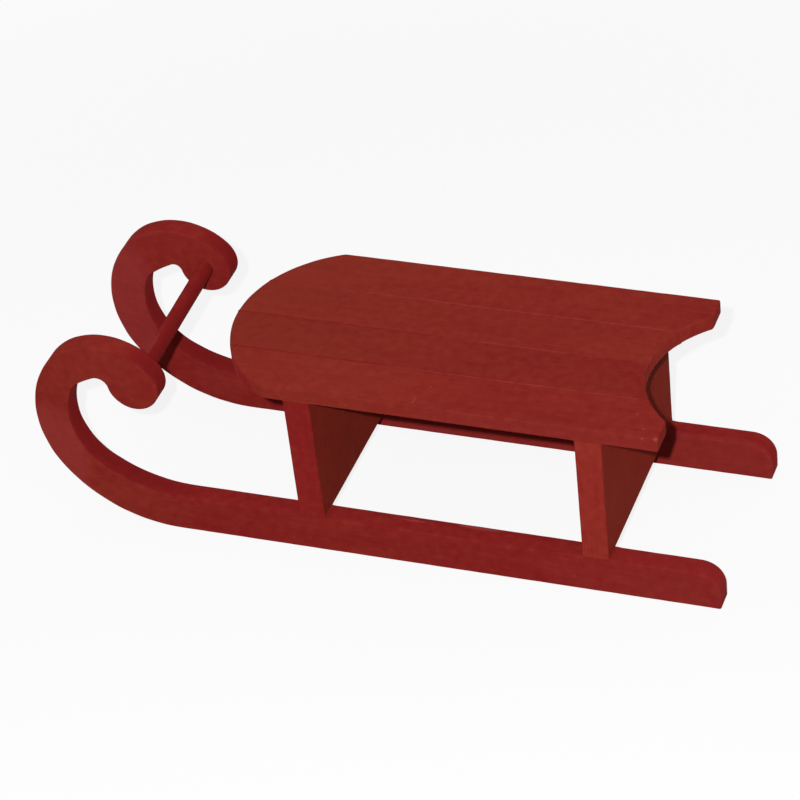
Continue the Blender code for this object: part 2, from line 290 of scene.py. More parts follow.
# The studio: the point aimed at, the camera and the lamp as azimuth, elevation and distance from it, the lamp
# also with its width, and the floor as radii of its rings
AIM = (0.01144, -0.02157, 0.07)
CAMERA_AZIMUTH = 203.04
CAMERA_ELEVATION = 36.59
CAMERA_ROLL = -6.472
CAMERA_DISTANCE = 2.7244
CAMERA_LENS = 154.15
CAMERA_REACH = 50.0
KEY_PLACE = (200.2, 38.2, 2.727, 0.04)
FLOOR_RINGS = (0.05, *np.linspace(0.2, 4.0, 20))
FLOOR_DROP = 0.0001
FLOOR_WHITE = 0.9
FLOOR_GLOW = 0.85
FLOOR_FADE = (0.5, 1.6)


class Curl(NamedTuple):
    """The curl of a runner as compasses draw it: tangent arcs, each a radius and a turn in degrees."""

    outside: tuple
    bulb: tuple
    inside: tuple


CURLS = {
    "left": Curl(
        outside=((0.1173, 51), (0.086, 72), (0.057, 106)),
        bulb=(0.0217, 210),
        inside=((0.009, -102), (0.088, -10.5), (0.015, -30), (0.0575, -82)),
    ),
    "right": Curl(
        outside=((0.1216, 49.5), (0.0835, 76), (0.059, 98)),
        bulb=(0.0221, 212.5),
        inside=((0.0062, -101), (0.094, -14), (0.015, -30), (0.0577, -82)),
    ),
}


class Coat(NamedTuple):
    """How the paint on a kind of board has aged along the sled, and the light and shade painted into it.

    Between the two places in change, on the frame's X axis, the fading turns from faded_rear to faded_front.
    The board's narrow sides, or rims, take a tone of their own, painted light where it lightens them and
    painted shade where it darkens them, and a fading of their own. The faces may turn towards a browner red,
    which is painted shade. At the places listed for painted shading, each a centre measured from the runners'
    rear end and half sizes, the paint turns towards the fresh red and its tone changes, as painted shade
    where it darkens and painted light where it lightens: wholly on the rims, and by a share on the faces.
    """

    tone: float
    faded_rear: float
    faded_front: float
    change: tuple = (-0.1, 0.1)
    rim_shading_tone: float = 0.0
    rim_faded: float = 0.0
    shade_brown: float = 0.0
    painted_shading: tuple = ()
    painted_shading_tone: float = -0.18
    painted_shading_face: float = 0.0


# Places of painted shading: the rear of the bulbs, the hollow inside the curl and the dowel's rear side are
# darkened as painted shade, and the seat's rim at its front left corner is lightened as painted light
BULB_REAR = ((0.448, 0.0, 0.138), (0.045, 1.0, 0.035))
CURL_HOLLOW = ((0.487, 0.0, 0.078), (0.090, 1.0, 0.085))
DOWEL_REAR = ((0.455, 0.0, 0.138), (0.016, 1.0, 0.014))
SEAT_CORNER = ((0.398, 0.080, 0.148), (0.045, 0.040, 0.030))
CURL_PAINTED_SHADING = (BULB_REAR, CURL_HOLLOW)
# The runners' narrow sides, such as their tops, are lighter by a tone of their own: painted light
RUNNER_COATS = {
    "left": Coat(0.97, 0.25, 0.70, (0.12, 0.21), 0.09, -0.15, painted_shading=CURL_PAINTED_SHADING),
    "right": Coat(1.03, 0.25, 0.40, (0.10, 0.19), 0.06, -0.15, painted_shading=CURL_PAINTED_SHADING, painted_shading_face=0.15),
}
# Painted shade and light: the leg faces are darker than the runners, the front leg's under the seat most, and
# turn browner, while the legs' ends are lighter by a tone of their own
LEG_COATS = {
    "front": Coat(0.76, 0.4, 0.4, rim_shading_tone=0.22, rim_faded=-0.3, shade_brown=0.6),
    "rear": Coat(0.93, 0.25, 0.25, rim_shading_tone=0.22, rim_faded=0.45, shade_brown=0.65),
}
# The left outer plank's narrow sides are darker by a tone of their own, painted shade, and its rim at the
# front left corner is lightened, painted light
SEAT_COATS = {
    "outer_left": Coat(1.04, 0.55, 0.85, rim_shading_tone=-0.08, painted_shading=(SEAT_CORNER,), painted_shading_tone=0.10),
    "inner_left": Coat(0.96, 0.6, 1.0),
    "inner_right": Coat(1.01, 0.75, 1.0),
    "outer_right": Coat(1.04, 0.65, 1.0),
}
# The dowel's rear side is darkened all round as painted shade
DOWEL_COAT = Coat(1.0, 0.2, 0.2, painted_shading=(DOWEL_REAR,), painted_shading_face=1.0)
GLUE_COAT = Coat(0.9, 0.3, 0.3)


def length_setting(name, description, default, low, high):
    """A length that a user may change, from low to high."""
    span = {"default": default, "min": low, "max": high}
    return FloatProperty(name=name, description=description, unit="LENGTH", **span)


def colour_setting(name, description, default):
    """A colour that a user may change, as linear light."""
    return FloatVectorProperty(name=name, description=description, default=default, subtype="COLOR")


def level_setting(name, description, default):
    """A brightness that a user may change, where 1 is white."""
    return FloatProperty(name=name, description=description, default=default, min=0.0, soft_max=1.0)


class SledShape(PropertyGroup):
    """Sizes of the hand finish on the boards."""

    edge_rounding: length_setting("Edge rounding", "Radius of the sanded edges", 0.0011, 0.0003, 0.002)
    joint_rounding: length_setting(
        "Joint rounding", "Radius of edges where two boards meet under the paint", 0.0003, 0.0001, 0.001
    )
    seam_rounding: length_setting(
        "Seam rounding", "Radius of the plank edges along the seams of the seat", 0.0002, 0.0001, 0.001
    )
    saw_wander: length_setting("Saw wander", "How far a sawn edge strays inside its line", 0.0003, 0.0, 0.001)
    glue_bead: length_setting(
        "Glue bead", "Width of the beads of glue at the feet of the legs", 0.0015, 0.0003, 0.003
    )


class SledPaint(PropertyGroup):
    """Colours of the finish."""

    fresh_red: colour_setting("Fresh paint", "Paint that kept its colour", (0.208, 0.0120, 0.0120))
    faded_red: colour_setting("Faded paint", "Paint that has faded", (0.218, 0.0245, 0.0156))
    # Painted shade: a browner red that the leg faces turn to, for the shade on them
    shade_brown_red: colour_setting("Dusty paint", "Paint under brown dust", (0.200, 0.0205, 0.0088))
    # A paler red for rubbed edges, chips and scuffs, and for the pale washes of painted light and sheen
    worn_and_sheen_red: colour_setting("Worn paint", "Paint rubbed thin on an edge", (0.325, 0.050, 0.049))
    zinc: colour_setting("Zinc", "Plating of the screws", (0.50, 0.50, 0.48))
    steel: colour_setting("Steel", "Bare steel of the nails", (0.42, 0.41, 0.40))


class SledStudio(PropertyGroup):
    """Levels of the light, as the brightness of a white board that faces it, and the grey of the floor."""

    key_level: level_setting("Key light", "Light from beside the camera", 0.87)
    room_level: level_setting("Room light", "Light from all round", 0.32)
    floor_grey: level_setting("Floor", "Grey of the floor, which lights the sled from below", 0.3)


# Curves in the plane of a board, as arrays of points


def arc(start, heading, radius, turn):
    """Points along a circle's arc, by equal turns of the arm from its centre, and the heading at its end."""
    side = math.copysign(1.0, turn)
    centre = start + side * radius * np.array([-math.sin(heading), math.cos(heading)])
    steps = max(ARC_STEPS_LEAST, math.ceil(radius * abs(turn) / ARC_SPACING))
    angles = turn * np.arange(1, steps + 1)[:, None] / steps
    arm = start - centre
    crossed = np.array([-arm[1], arm[0]])
    return centre + np.cos(angles) * arm + np.sin(angles) * crossed, heading + turn


def arcs(start, heading, pieces):
    """A run of tangent arcs, each (radius, turn in degrees), with its start, and the heading at its end."""
    points = [np.array([start])]
    for radius, turn in pieces:
        stretch, heading = arc(points[-1][-1], heading, radius, math.radians(turn))
        points.append(stretch)
    return np.concatenate(points), heading


def distances(points):
    """The distance of each point along its line."""
    return np.concatenate([[0.0], np.cumsum(np.linalg.norm(np.diff(points, axis=0), axis=1))])


def resampled(points, wanted):
    """Points at the wanted distances along a line."""
    along = distances(points)
    return np.stack([np.interp(wanted, along, points[:, axis]) for axis in range(2)], axis=1)


def stations(spans, counts, cuts):
    """Equal steps along each of some joined spans, leaving out cuts[0] and cuts[1] at the two ends."""
    lines = []
    for index, (span, count) in enumerate(zip(spans, counts)):
        first = cuts[0] if index == 0 else 0.0
        last = cuts[1] if index == len(spans) - 1 else 0.0
        wanted = np.linspace(first, distances(span)[-1] - last, count + 1)
        lines.append(resampled(span, wanted)[0 if index == 0 else 1 :])
    return np.concatenate(lines)


def cosine_steps(count):
    """Shares from 0 to 1, (1 - cos) / 2, so that they lie close together near both ends."""
    return (1 - np.cos(np.linspace(0.0, math.pi, count))) / 2


def corner_curve(before, corner, after):
    """A rounded corner: the quadratic Bezier from before to after that is drawn towards the corner."""
    share = np.linspace(0.0, 1.0, CORNER_POINTS)[:, None]
    return (1 - share) ** 2 * before + 2 * share * (1 - share) * corner + share**2 * after


def end_row(before, row, after, cuts):
    """An end of a board from side to side, with both corners rounded, as ROW_POINTS close at the corners."""
    middle = resampled(row, np.linspace(cuts[0], distances(row)[-1] - cuts[1], ROW_SAMPLES))
    first = corner_curve(before, row[0], middle[0])
    last = corner_curve(middle[-1], row[-1], after)
    whole = np.concatenate([first, middle[1:-1], last])
    return resampled(whole, cosine_steps(ROW_POINTS) * distances(whole)[-1])


def bent(first, corner, last, cut):
    """Two joined lines as one, with the corner between them rounded over the distance cut."""
    lead = resampled(first, np.linspace(0.0, distances(first)[-1] - cut, BENT_POINTS))
    tail = resampled(last, np.linspace(cut, distances(last)[-1], BENT_POINTS))
    return np.concatenate([lead[:-1], corner_curve(lead[-1], corner, tail[0]), tail[1:]])


def smooth_step(values, low, high):
    """0 below low, 1 above high and 3s^2 - 2s^3 between them."""
    share = np.clip((values - low) / (high - low), 0.0, 1.0)
    return share * share * (3 - 2 * share)


def waves(along, lengths, seed):
    """A slow unevenness from -1 to 1: the mean of sine waves of these lengths with seeded phases."""
    phases = np.random.default_rng(seed).uniform(0.0, math.tau, len(lengths))
    return np.sin(along[:, None] * math.tau / np.array(lengths) + phases).mean(axis=1)


def eased_radius(shape, kind, along, number=0):
    """The radius of a board's sanded edges, which wavers along them by the waves of its kind and number."""
    share, lengths, seed = EDGE_WAVES[kind]
    return shape.edge_rounding * (1 + share * waves(along, lengths, seed + number))


def normals(loop):
    """Outward unit normals of a closed anticlockwise line."""
    tangent = np.roll(loop, -1, axis=0) - np.roll(loop, 1, axis=0)
    across = np.stack([tangent[:, 1], -tangent[:, 0]], axis=1)
    return across / np.linalg.norm(across, axis=1)[:, None]


# Solid pieces from those curves


class BoardPlan:
    """The outline of a board seen from its face, as two long sides that run alongside and two end rows.

    The right side and the left side both run from the rear to the front and have equally many points, so that
    lines across the board join them one to one. Both end rows run from right to left.
    """

    def __init__(self, right, left, rear, front):
        self.right, self.left, self.rear, self.front = right, left, rear, front
        self.shape = (len(right), len(rear))

    @classmethod
    def rounded(cls, right, left, rear, front, cuts):
        """A plan whose end rows run from side to side, with corners rounded over the cuts, right and left."""
        rows = (end_row(right[end], row, left[end], cuts) for end, row in ((0, rear), (-1, front)))
        return cls(right, left, *rows)

    def loop(self):
        """The closed outline, anticlockwise from the rear right corner."""
        return np.concatenate([self.right, self.front[1:-1], self.left[::-1], self.rear[-2:0:-1]])

    def from_loop(self, loop):
        """The same plan with its points taken from another closed outline."""
        length, width = self.shape
        turns = np.cumsum([length - 1, width - 1, length - 1])
        closed = np.concatenate([loop, loop[:1]])
        right = closed[: turns[0] + 1]
        front = closed[turns[0] : turns[1] + 1]
        left = closed[turns[1] : turns[2] + 1][::-1]
        rear = closed[turns[2] :][::-1]
        return BoardPlan(right, left, rear, front)

    def edge_index(self):
        """Grid places of the loop's points, as (along, across) numbers in the loop's order."""
        length, width = self.shape
        lengths = np.arange(length)
        widths = np.arange(width)
        along = [lengths, np.full(width - 2, length - 1), lengths[::-1], np.zeros(width - 2, int)]
        across = [np.zeros(length, int), widths[1:-1], np.full(length, width - 1), widths[-2:0:-1]]
        return np.concatenate(along), np.concatenate(across)

    def face(self):
        """The flat face as a grid: lines across join the sides, and the end rows' bows fade out inwards.

        P(u, v) = (1 - v) right(u) + v left(u) + fade(u) bow(v), with a bow and a fade for each end.
        """
        share = cosine_steps(self.shape[1])[:, None]
        grid = self.right[:, None] * (1 - share) + self.left[:, None] * share
        along = distances((self.right + self.left) / 2)
        for row, distance in ((self.rear, along), (self.front, along[-1] - along)):
            bow = row - (row[0] * (1 - share) + row[-1] * share)
            grid = grid + near(distance, BOW_REACH)[:, None, None] * bow
        return grid

    def straightened(self):
        """Distance along the board and across it from its middle, for each point of the grid."""
        share = cosine_steps(self.shape[1])
        along = distances((self.right + self.left) / 2)
        width = np.linalg.norm(self.left - self.right, axis=1)
        return np.stack([np.broadcast_to(along[:, None], self.shape), width[:, None] * (share - 0.5)], axis=2)


def near(distance, reach):
    """1 on an edge, falling to 0 at reach: the square of the share of the way back."""
    return np.clip(1 - distance / reach, 0.0, 1.0) ** 2


def edge_rings(thickness, top_radius, bottom_radius):
    """Heights of the rings round a board from top to bottom, and how far inside the outline they lie.

    A quarter-round of the local radius r eases the edge of each face, with a plain band between the two. At
    angle a from the face, it lies r (1 - sin a) inside the outline and r (1 - cos a) below the face.
    """
    angles = np.linspace(0.0, math.pi / 2, ROUND_STEPS + 1)
    heights = []
    insets = []
    for radius, sign, turn in ((top_radius, 1, angles), (bottom_radius, -1, angles[::-1])):
        heights.append(sign * (thickness / 2 - radius * (1 - np.cos(turn))[:, None]))
        insets.append(radius * (1 - np.sin(turn))[:, None])
    share = np.linspace(0.0, 1.0, BAND_STEPS + 2)[1:-1, None]
    heights.insert(1, heights[0][-1] * (1 - share) + heights[1][0] * share)
    insets.insert(1, np.zeros((BAND_STEPS, len(top_radius))))
    return np.concatenate(heights), np.concatenate(insets)


def wear_at(distance, radius, dirt, chalk):
    """How rubbed, dirty and chalky a board is at this distance from an edge of this radius.

    A sharp joint isn't rubbed at all and a fully eased edge is, and all three fade away from the edge.
    """
    amounts = (smooth_step(radius, *RUBBED_RADII), dirt, chalk)
    shares = [amount * near(distance, reach) for amount, reach in zip(amounts, WEAR_REACHES)]
    return np.stack(shares, axis=-1).reshape(-1, 3)


def with_height(flat, height):
    """Points in the plane, or a grid of them, with their height as a third number."""
    return np.concatenate([flat, np.broadcast_to(height, flat.shape[:-1])[..., None]], axis=-1).reshape(-1, 3)


def board_arrays(plan, thickness, rounding, seams):
    """Points, four-sided faces and surface values of a closed board in its own coordinates.

    Rings of points run round it with its eased edges, and a grid fills each face. The values are the place on
    the board, the wear as shares of rubbed, dirty and chalky paint, and the rim, 1 on the narrow sides.
    """
    outline = plan.loop()
    count = len(outline)
    top_radius, bottom_radius = rounding(outline)
    heights, insets = edge_rings(thickness, top_radius, bottom_radius)
    rings = len(heights)
    ring_plans = outline - normals(outline) * insets[:, :, None]
    local_radius = np.where(heights > 0, top_radius, bottom_radius)
    from_edge = np.hypot(insets, thickness / 2 - np.abs(heights))
    dirt, chalk = seams(outline)
    along, across = plan.edge_index()
    straight = plan.straightened()

    points = [with_height(ring_plans, heights)]
    boards = [with_height(np.broadcast_to(straight[along, across], ring_plans.shape), heights)]
    wear = [wear_at(from_edge, local_radius, dirt, chalk)]
    rim = [(1 - insets / local_radius).ravel()]
    faces = [ring_faces(rings, count)]
    used = rings * count
    inside = (slice(1, -1), slice(1, -1))
    for ring, radius, height in ((0, top_radius, thickness / 2), (rings - 1, bottom_radius, -thickness / 2)):
        inner = plan.from_loop(ring_plans[ring]).face()[inside].reshape(-1, 2)
        index = np.empty(plan.shape, int)
        index[along, across] = ring * count + np.arange(count)
        index[inside] = used + np.arange(len(inner)).reshape(index[inside].shape)
        used += len(inner)
        edge_distance, nearest = nearest_edge(inner, outline)
        points.append(with_height(inner, height))
        boards.append(with_height(straight[inside].reshape(-1, 2), height))
        wear.append(wear_at(edge_distance, radius[nearest], dirt[nearest], chalk[nearest]))
        rim.append(np.zeros(len(inner)))
        faces.append(grid_faces(index, flip=height < 0))
    values = {"board": np.concatenate(boards), "wear": np.concatenate(wear), "rim": np.concatenate(rim)}
    return np.concatenate(points), np.concatenate(faces), values


def nearest_edge(inner, outline):
    """The distance from each point to the outline, and the number of the outline's point there."""
    distance = np.empty(len(inner))
    nearest = np.empty(len(inner), int)
    for start in range(0, len(inner), POINTS_AT_ONCE):
        part = slice(start, start + POINTS_AT_ONCE)
        apart = np.hypot(*(inner[part, None] - outline).transpose(2, 0, 1))
        nearest[part] = apart.argmin(axis=1)
        distance[part] = apart.min(axis=1)
    return distance, nearest


def ring_faces(rings, count):
    """Faces between neighbouring rings of points, which run down the piece."""
    here = np.arange(rings - 1)[:, None] * count + np.arange(count)
    after = np.roll(here, -1, axis=1)
    return np.stack([here, here + count, after + count, after], axis=2).reshape(-1, 4)


def fan_faces(ring, tip):
    """Triangles between a ring of point numbers and the number of the point at its tip."""
    return np.stack([np.full(len(ring), tip), ring, np.roll(ring, -1)], axis=1).tolist()


def grid_faces(index, flip):
    """Faces of a grid of point numbers."""
    corners = [index[:-1, :-1], index[1:, :-1], index[1:, 1:], index[:-1, 1:]]
    if flip:
        corners.reverse()
    return np.stack(corners, axis=2).reshape(-1, 4)


def make_piece(name, points, faces, values=None):
    """A smooth piece in the sled's frame; its finish reads the values, numbers or vectors, at its points."""
    mesh = bpy.data.meshes.new(name)
    mesh.from_pydata(points.tolist(), [], faces)
    corners = np.empty(len(mesh.loops), int)
    mesh.loops.foreach_get("vertex_index", corners)
    for label, value in (values or {}).items():
        kind = "FLOAT_VECTOR" if value.ndim == 2 else "FLOAT"
        attribute = mesh.attributes.new(label, kind, "CORNER")
        attribute.data.foreach_set("vector" if value.ndim == 2 else "value", value[corners].ravel())
    mesh.shade_smooth()
    piece = bpy.data.objects.new(name, mesh)
    bpy.context.scene.collection.objects.link(piece)
    return piece


def make_board(name, plan, thickness, rounding, seams, axes, origin, brushed_across=False):
    """A board whose plan lies along the first two of the axes, about the origin along the third."""
    points, faces, values = board_arrays(plan, thickness, rounding, seams)
    if brushed_across:
        values["board"] = values["board"][:, [1, 0, 2]]
    placed = points @ np.array(axes, float) + np.array(origin)
    return make_piece(name, placed, faces.tolist(), values)


def tube_piece(name, rings):
    """A closed solid through rings of points, with fans over both ends.

    Each ring runs anticlockwise as seen from the next.
    """
    count, segments = rings.shape[:2]
    used = count * segments
    points = np.concatenate([rings.reshape(-1, 3), rings[[0, -1]].mean(axis=1)])
    faces = ring_faces(count, segments)[:, ::-1].tolist()
    faces += fan_faces(np.arange(segments)[::-1], tip=used)
    faces += fan_faces(np.arange(used - segments, used), tip=used + 1)
    along = distances(rings.mean(axis=1))
    steps = np.linalg.norm(np.roll(rings, -1, axis=1) - rings, axis=2).mean(axis=0)
    board = np.zeros((len(points), 3))
    board[:used, 0] = np.repeat(along, segments)
    board[:used, 1] = np.tile(np.cumsum(steps) - steps, count)
    board[-1, 0] = along[-1]
    return make_piece(name, points, faces, {"board": board, "wear": 0 * board, "rim": 0 * board[:, 0]})


def circle(segments):
    """Angles round a circle by equal steps."""
    return np.arange(segments) * math.tau / segments


def turned_piece(name, radii, heights, axes, origin):
    """A turned solid: at angle a and height h, it lies r(h, a) (cos a, sin a) from the third axis."""
    angles = circle(TURNED_SEGMENTS)
    radii = np.broadcast_to(radii, (len(heights), TURNED_SEGMENTS))
    level = np.broadcast_to(np.reshape(heights, (-1, 1)), radii.shape)
    rings = np.stack([radii * np.cos(angles), radii * np.sin(angles), level], axis=2)
    return tube_piece(name, rings @ axes + np.array(origin))


def drill(piece, cutter):
    """Takes the cutter out of the piece, and keeps the rim of the hole crisp."""
    cut = piece.modifiers.new("Hole", "BOOLEAN")
    cut.operation = "DIFFERENCE"
    cut.solver = "EXACT"
    cut.object = cutter
    bpy.context.view_layer.update()
    drilled = bpy.data.meshes.new_from_object(piece.evaluated_get(bpy.context.evaluated_depsgraph_get()))
    drilled.name = piece.name
    piece.modifiers.clear()
    piece.data = drilled
    drilled.set_sharp_from_angle(angle=math.radians(CRISP_ANGLE))
    bpy.data.objects.remove(cutter)


def finish_piece(piece, material, slot, *nodes):
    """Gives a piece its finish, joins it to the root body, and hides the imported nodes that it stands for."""
    piece.data.materials.clear()
    piece.data.materials.append(material)
    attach(piece, "root")
    if nodes:
        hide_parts(*nodes)


# The finishes


class Wire:
    """One output of a finish's nodes. Sums, products and powers of wires and numbers add Math nodes."""

    def __init__(self, finish, socket):
        self.finish = finish
        self.socket = socket

    def math(self, operation, *values):
        return self.finish.add("ShaderNodeMath", {"operation": operation}, dict(enumerate(values)))

    def __add__(self, other):
        return self.math("ADD", self, other)

    def __radd__(self, other):
        return self.math("ADD", other, self)

    def __sub__(self, other):
        return self.math("SUBTRACT", self, other)

    def __rsub__(self, other):
        return self.math("SUBTRACT", other, self)

    def __mul__(self, other):
        return self.math("MULTIPLY", self, other)

    def __rmul__(self, other):
        return self.math("MULTIPLY", other, self)

    def most(self, other):
        """The greater of the two."""
        return self.math("MAXIMUM", self, other)

    def between(self, low, high):
        """0 at low and 1 at high, smooth between them."""
        sockets = {"Value": self, "From Min": low, "From Max": high}
        return self.finish.add("ShaderNodeMapRange", {"interpolation_type": "SMOOTHSTEP"}, sockets)


class Finish:
    """The nodes of one material."""

    def __init__(self, name, tree=None):
        if tree is None:
            self.material = bpy.data.materials.new(name)
            self.material.use_nodes = True
            tree = self.material.node_tree
        self.tree = tree
        self.tree.nodes.clear()

    def add(self, kind, settings=None, sockets=None, output=0):
        """Adds a node with its settings and then the numbers, colours or wires of its sockets."""
        node = self.tree.nodes.new(kind)
        for label, value in (settings or {}).items():
            setattr(node, label, value)
        for key, value in (sockets or {}).items():
            if isinstance(value, Wire):
                self.tree.links.new(value.socket, node.inputs[key])
            else:
                node.inputs[key].default_value = value
        return None if output is None else Wire(self, node.outputs[output])

    def place(self):
        """Where a point lies in the sled's frame, in metres."""
        return self.add("ShaderNodeTexCoord", output="Object")

    def value(self, label, output="Fac"):
        """What the mesh carries under this name."""
        return self.add("ShaderNodeAttribute", {"attribute_name": label}, output=output)

    def moved(self, place, scale, step):
        """A place multiplied by the scale and then moved by the step, axis by axis."""
        sockets = {0: place, 1: tuple(scale), 2: tuple(step)}
        return self.add("ShaderNodeVectorMath", {"operation": "MULTIPLY_ADD"}, sockets)

    def distance(self, place):
        """How far a place lies from the middle."""
        return self.add("ShaderNodeVectorMath", {"operation": "LENGTH"}, {0: place}, output="Value")

    def noise(self, place, sizes, seed, detail=2.0):
        """Noise about 0.5 with features of these sizes along the three axes."""
        spread = self.moved(place, (1 / size for size in sizes), (step * seed for step in NOISE_STEPS))
        return self.add("ShaderNodeTexNoise", sockets={"Vector": spread, "Scale": 1.0, "Detail": detail})

    def parts(self, vector):
        """The three parts of a vector, as wires."""
        node = self.tree.nodes.new("ShaderNodeSeparateXYZ")
        self.tree.links.new(vector.socket, node.inputs[0])
        return [Wire(self, socket) for socket in node.outputs]

    def inside(self, place, centre, sizes):
        """1 about the middle of an ellipsoid of these half sizes, falling to 0 at its skin.

        The centre is measured from the runners' rear end.
        """
        centre = (centre[0] + REAR_END, *centre[1:])
        scale = [1 / size for size in sizes]
        step = [-middle / size for middle, size in zip(centre, sizes)]
        return 1 - self.distance(self.moved(place, scale, step)).between(*PLACE_FADE)

    def scaled(self, colour, tone):
        """A colour made lighter or darker by a wire."""
        colour = colour if isinstance(colour, Wire) else tuple(colour)
        return self.add("ShaderNodeVectorMath", {"operation": "SCALE"}, {0: colour, "Scale": tone})

    def mixed(self, first, second, share):
        """The first colour, which turns into the second as the share goes to 1."""
        first, second = (colour if isinstance(colour, Wire) else (*colour, 1.0) for colour in (first, second))
        return self.add("ShaderNodeMix", {"data_type": "RGBA"}, {0: share, 6: first, 7: second}, output=2)

    def surface(self, colour, roughness, height, metallic, gloss, matte):
        """The finished surface: height is in metres and gives the bump."""
        relief = {"Strength": 1.0, "Distance": 1.0, "Height": height}
        sockets = {
            "Base Color": colour,
            "Roughness": roughness,
            "Metallic": metallic,
            "Specular IOR Level": gloss,
            "Diffuse Roughness": matte,
            "Normal": self.add("ShaderNodeBump", sockets=relief, output="Normal"),
        }
        shader = self.add("ShaderNodeBsdfPrincipled", sockets=sockets)
        self.add("ShaderNodeOutputMaterial", sockets={"Surface": shader}, output=None)


def painted_wood(name, coat, grain, seed, marks=()):
    """Brushed paint over sawn wood, which has faded and changes a little in patches, strokes and fibres.

    Strokes follow the board, and fibres that print through follow the axis of its grain. The mesh says where
    edges are rubbed and where seams hold dirt or chalky paint. Marks are places where the paint is chipped or
    scuffed, and broad pale washes that are painted light and sheen, each a centre, half sizes and a strength.
    The coat adds more painted light and shade: a tone of the narrow sides, browner faces, and darker and
    lighter places.
    """
    paint = bpy.context.scene.sled_paint
    finish = Finish(name)
    place = finish.place()
    board = finish.value("board", "Vector")
    rim = finish.value("rim")
    worn, dirt, chalk = finish.parts(finish.value("wear", "Vector"))
    fibre_sizes = [FIBRE_LENGTH if axis == grain else FIBRE_WIDTH for axis in "XYZ"]
    features = {
        "patches": finish.noise(place, PATCH_SIZES, seed),
        "mottle": finish.noise(place, MOTTLE_SIZES, seed + 0.3, detail=5.0),
        "strokes": finish.noise(board, STROKE_SIZES, seed + 0.5),
        "bristles": finish.noise(board, BRISTLE_SIZES, seed + 0.7),
        "fibres": finish.noise(place, fibre_sizes, seed + 0.9, detail=3.0),
    }
    mottle = features["mottle"]

    def varied(value, shares):
        """The value changed by its share of each feature's departure from 0.5."""
        return sum((share * (features[label] - 0.5) for label, share in shares.items()), start=value)

    # Painted shading: at the listed places the paint turns towards the fresh red and its tone darkens as
    # painted shade, and lightens as painted light where that tone is positive
    painted_shading = 0.0
    for centre, sizes in coat.painted_shading:
        painted_shading = finish.inside(place, centre, sizes).most(painted_shading)
    painted_shading = painted_shading * (coat.painted_shading_face + (1 - coat.painted_shading_face) * rim)
    # The narrow sides' own tone is painted light and shade
    tone = varied(coat.tone + coat.rim_shading_tone * rim, TONE_SHARES) * (1 + coat.painted_shading_tone * painted_shading)
    ahead = finish.parts(place)[0].between(*coat.change)
    faded = coat.faded_rear + (coat.faded_front - coat.faded_rear) * ahead + coat.rim_faded * rim
    faded = varied(faded, FADED_SHARES) - DIRT_FRESH * dirt - PAINTED_SHADING_FRESH * painted_shading
    coarse = RUBBED_MOTTLE * mottle + (1 - RUBBED_MOTTLE) * features["strokes"]
    rubbed = worn * coarse.between(*RUBBED_EDGE)
    chalky = chalk * (1 + CHALK_MOTTLE * (mottle - 0.5))

    colour = finish.mixed(paint.fresh_red, paint.faded_red, faded)
    # The leg faces turn towards a browner red: painted shade
    if coat.shade_brown:
        colour = finish.mixed(colour, paint.shade_brown_red, coat.shade_brown * (1 - rim))
    colour = finish.scaled(colour, tone * (1 - DIRT_DARK * dirt))
    colour = finish.mixed(colour, paint.worn_and_sheen_red, RUBBED_PALE * rubbed + chalky)
    # Marks: chips and scuffs, and broad pale washes that are painted light and sheen
    for centre, sizes, strength in marks:
        mark = finish.inside(place, centre, sizes) * (1 + MARK_BRISTLES * (features["bristles"] - 0.5))
        colour = finish.mixed(colour, paint.worn_and_sheen_red, strength * mark.between(*MARK_FADE) * (1 - painted_shading))
    finish.surface(
        colour,
        roughness=varied(PAINT_ROUGHNESS, ROUGH_SHARES) + RUBBED_ROUGH * rubbed,
        height=varied(0.0, HEIGHT_SHARES),
        metallic=0.0,
        gloss=PAINT_GLOSS,
        matte=PAINT_MATTE,
    )
    return finish.material


# The runners


def runner_plan(shape, curl):
    """The runner's outline from its rear end to the tip of its bulb, with its long sides a little uneven.

    The last arc of the hollow is worked out so that it lands level on the runner's top.
    """
    bulb_radius, bulb_turn = curl.bulb
    bulb_side = (bulb_turn - BULB_TIP_TURN) / 2
    sole = np.array([[0.0, 0.0], [CURL_START, 0.0]])
    outside, heading = arcs(sole[-1], 0.0, curl.outside)
    bulb_out, heading = arcs(outside[-1], heading, ((bulb_radius, bulb_side),))
    tip, heading = arcs(bulb_out[-1], heading, ((bulb_radius, BULB_TIP_TURN),))
    bulb_in, heading = arcs(tip[-1], heading, ((bulb_radius, bulb_side),))
    inside, heading = arcs(bulb_in[-1], heading, curl.inside)
    last_turn = math.pi - heading
    last_radius = (inside[-1][1] - RUNNER_HEIGHT) / (1 - math.cos(last_turn))
    landing, heading = arcs(inside[-1], heading, ((last_radius, math.degrees(last_turn)),))
    hollow = np.concatenate([inside, landing[1:]])
    top = np.array([hollow[-1], [REAR_CORNER_RADIUS, RUNNER_HEIGHT]])
    rear, _ = arcs(top[-1], math.pi, ((REAR_CORNER_RADIUS, 90),))
    rear = np.concatenate([rear, [[0.0, 0.0]]])[::-1]

    cuts = (CORNER_CUT * shape.edge_rounding,) * 2
    right = stations((sole, outside, bulb_out), RUNNER_STEPS, cuts)
    left = stations((top[::-1], hollow[::-1], bulb_in[::-1]), RUNNER_STEPS, cuts)
    right = uneven(right, shape.saw_wander, SAW_SEEDS[0])
    left = uneven(left, shape.saw_wander, SAW_SEEDS[1], side=-1)
    return BoardPlan.rounded(right, left, rear, tip, cuts)


